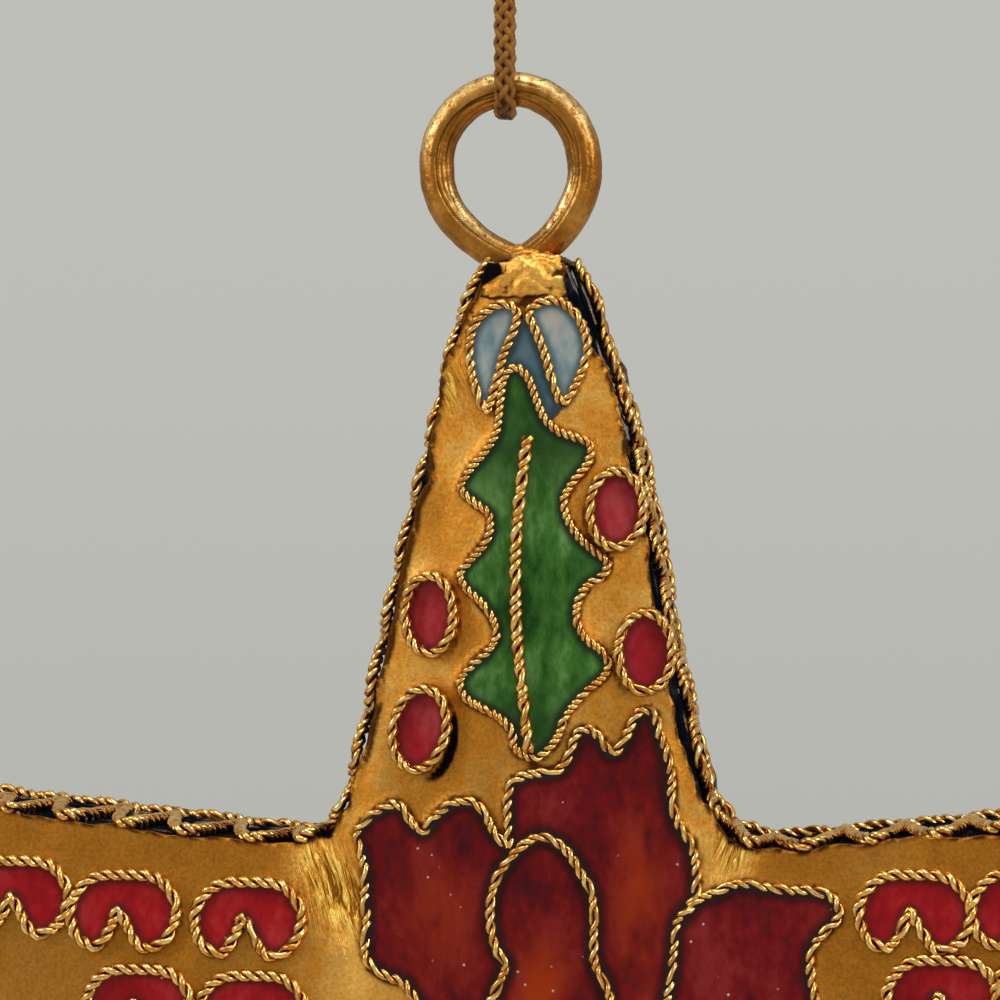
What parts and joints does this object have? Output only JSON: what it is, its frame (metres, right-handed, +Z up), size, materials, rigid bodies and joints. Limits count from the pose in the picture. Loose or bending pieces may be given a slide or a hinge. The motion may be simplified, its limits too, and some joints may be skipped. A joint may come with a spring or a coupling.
{
  "type": "cloisonne star ornament",
  "caption": "Hollow gilt star with enamel holly, poinsettia and cloud cells between twisted wires, hung by a wire ring on a doubled braided cord that ends in a knotted eye.",
  "frame": {"origin": "where a hook holds the cord's eye, at the inside of the eye's top", "axes": "+Z up, +X to the right of the front face, the front faces -Y"},
  "size_m": [0.0732, 0.0134, 0.1111],
  "materials": {
    "gilt_sheet": "satin gilding on copper sheet",
    "gilt_wire": "bright twisted gilt wire",
    "ring_gilt": "worn gilt round wire",
    "green_enamel": "glossy enamel",
    "dark_red_enamel": "glossy enamel",
    "bright_red_enamel": "glossy enamel",
    "pale_blue_enamel": "glossy enamel",
    "navy_enamel": "glossy enamel",
    "yellow_enamel": "glossy enamel",
    "cord_braid": "fine braid"
  },
  "bodies": {
    "cord_top": {"cord_eye": "cord_braid", "cord_knot": "cord_braid"},
    "cord_strands": {"cord_front_strand": "cord_braid", "cord_back_strand": "cord_braid"},
    "cord_bight": {"cord_bight": "cord_braid"},
    "star": {"front_plate": "gilt_sheet", "front_rim_wire": "gilt_wire", "front_flower_wire": "gilt_wire", "front_flower_centre": "yellow_enamel", "front_petal_1": "dark_red_enamel", "front_petal_2": "dark_red_enamel", "front_petal_3": "dark_red_enamel", "front_petal_4": "dark_red_enamel", "front_petal_5": "dark_red_enamel", "front_petal_6": "dark_red_enamel", "front_petal_7": "dark_red_enamel", "front_cloud_wire_right": "gilt_wire", "front_cloud_wire_left": "gilt_wire", "front_holly_wire_top": "gilt_wire", "front_holly_leaf_top": "green_enamel", "front_holly_wire_low_right": "gilt_wire", "front_holly_leaf_low_right": "green_enamel", "front_holly_wire_low_left": "gilt_wire", "front_holly_leaf_low_left": "green_enamel", "back_plate": "gilt_sheet", "back_rim_wire": "gilt_wire", "back_flower_wire": "gilt_wire", "back_flower_centre": "yellow_enamel", "back_petal_1": "dark_red_enamel", "back_petal_2": "dark_red_enamel", "back_petal_3": "dark_red_enamel", "back_petal_4": "dark_red_enamel", "back_petal_5": "dark_red_enamel", "back_petal_6": "dark_red_enamel", "back_petal_7": "dark_red_enamel", "back_cloud_wire_right": "gilt_wire", "back_cloud_wire_left": "gilt_wire", "back_holly_wire_top": "gilt_wire", "back_holly_leaf_top": "green_enamel", "back_holly_wire_low_right": "gilt_wire", "back_holly_leaf_low_right": "green_enamel", "back_holly_wire_low_left": "gilt_wire", "back_holly_leaf_low_left": "green_enamel", "front_berry_1": "bright_red_enamel", "front_berry_2": "bright_red_enamel", "front_berry_3": "bright_red_enamel", "front_berry_4": "bright_red_enamel", "front_drop_left": "pale_blue_enamel", "front_drop_right": "pale_blue_enamel", "wall_1": "gilt_sheet", "wall_2": "gilt_sheet", "wall_3": "gilt_sheet", "wall_4": "gilt_sheet", "wall_5": "gilt_sheet", "wall_enamel": "navy_enamel", "tip_cap": "gilt_sheet", "hanging_ring": "ring_gilt", "ring_solder": "ring_gilt"}
  },
  "joints": [
    {"name": "cord_twist", "type": "hinge", "parent": "cord_top", "child": "cord_strands", "pos_m": [0, 0, -0.0177], "axis": [0, 0, 1], "range_deg": [-180, 180]},
    {"name": "front_tilt", "type": "hinge", "parent": "cord_strands", "child": "cord_bight", "pos_m": [0, 0, -0.033], "axis": [1, 0, 0], "range_deg": [-90, 90], "deforming": ["cord_bight"]},
    {"name": "side_swing", "type": "hinge", "parent": "cord_bight", "child": "star", "pos_m": [0, 0, -0.03633], "axis": [0, 1, 0], "range_deg": [-110, 110]}
  ]
}
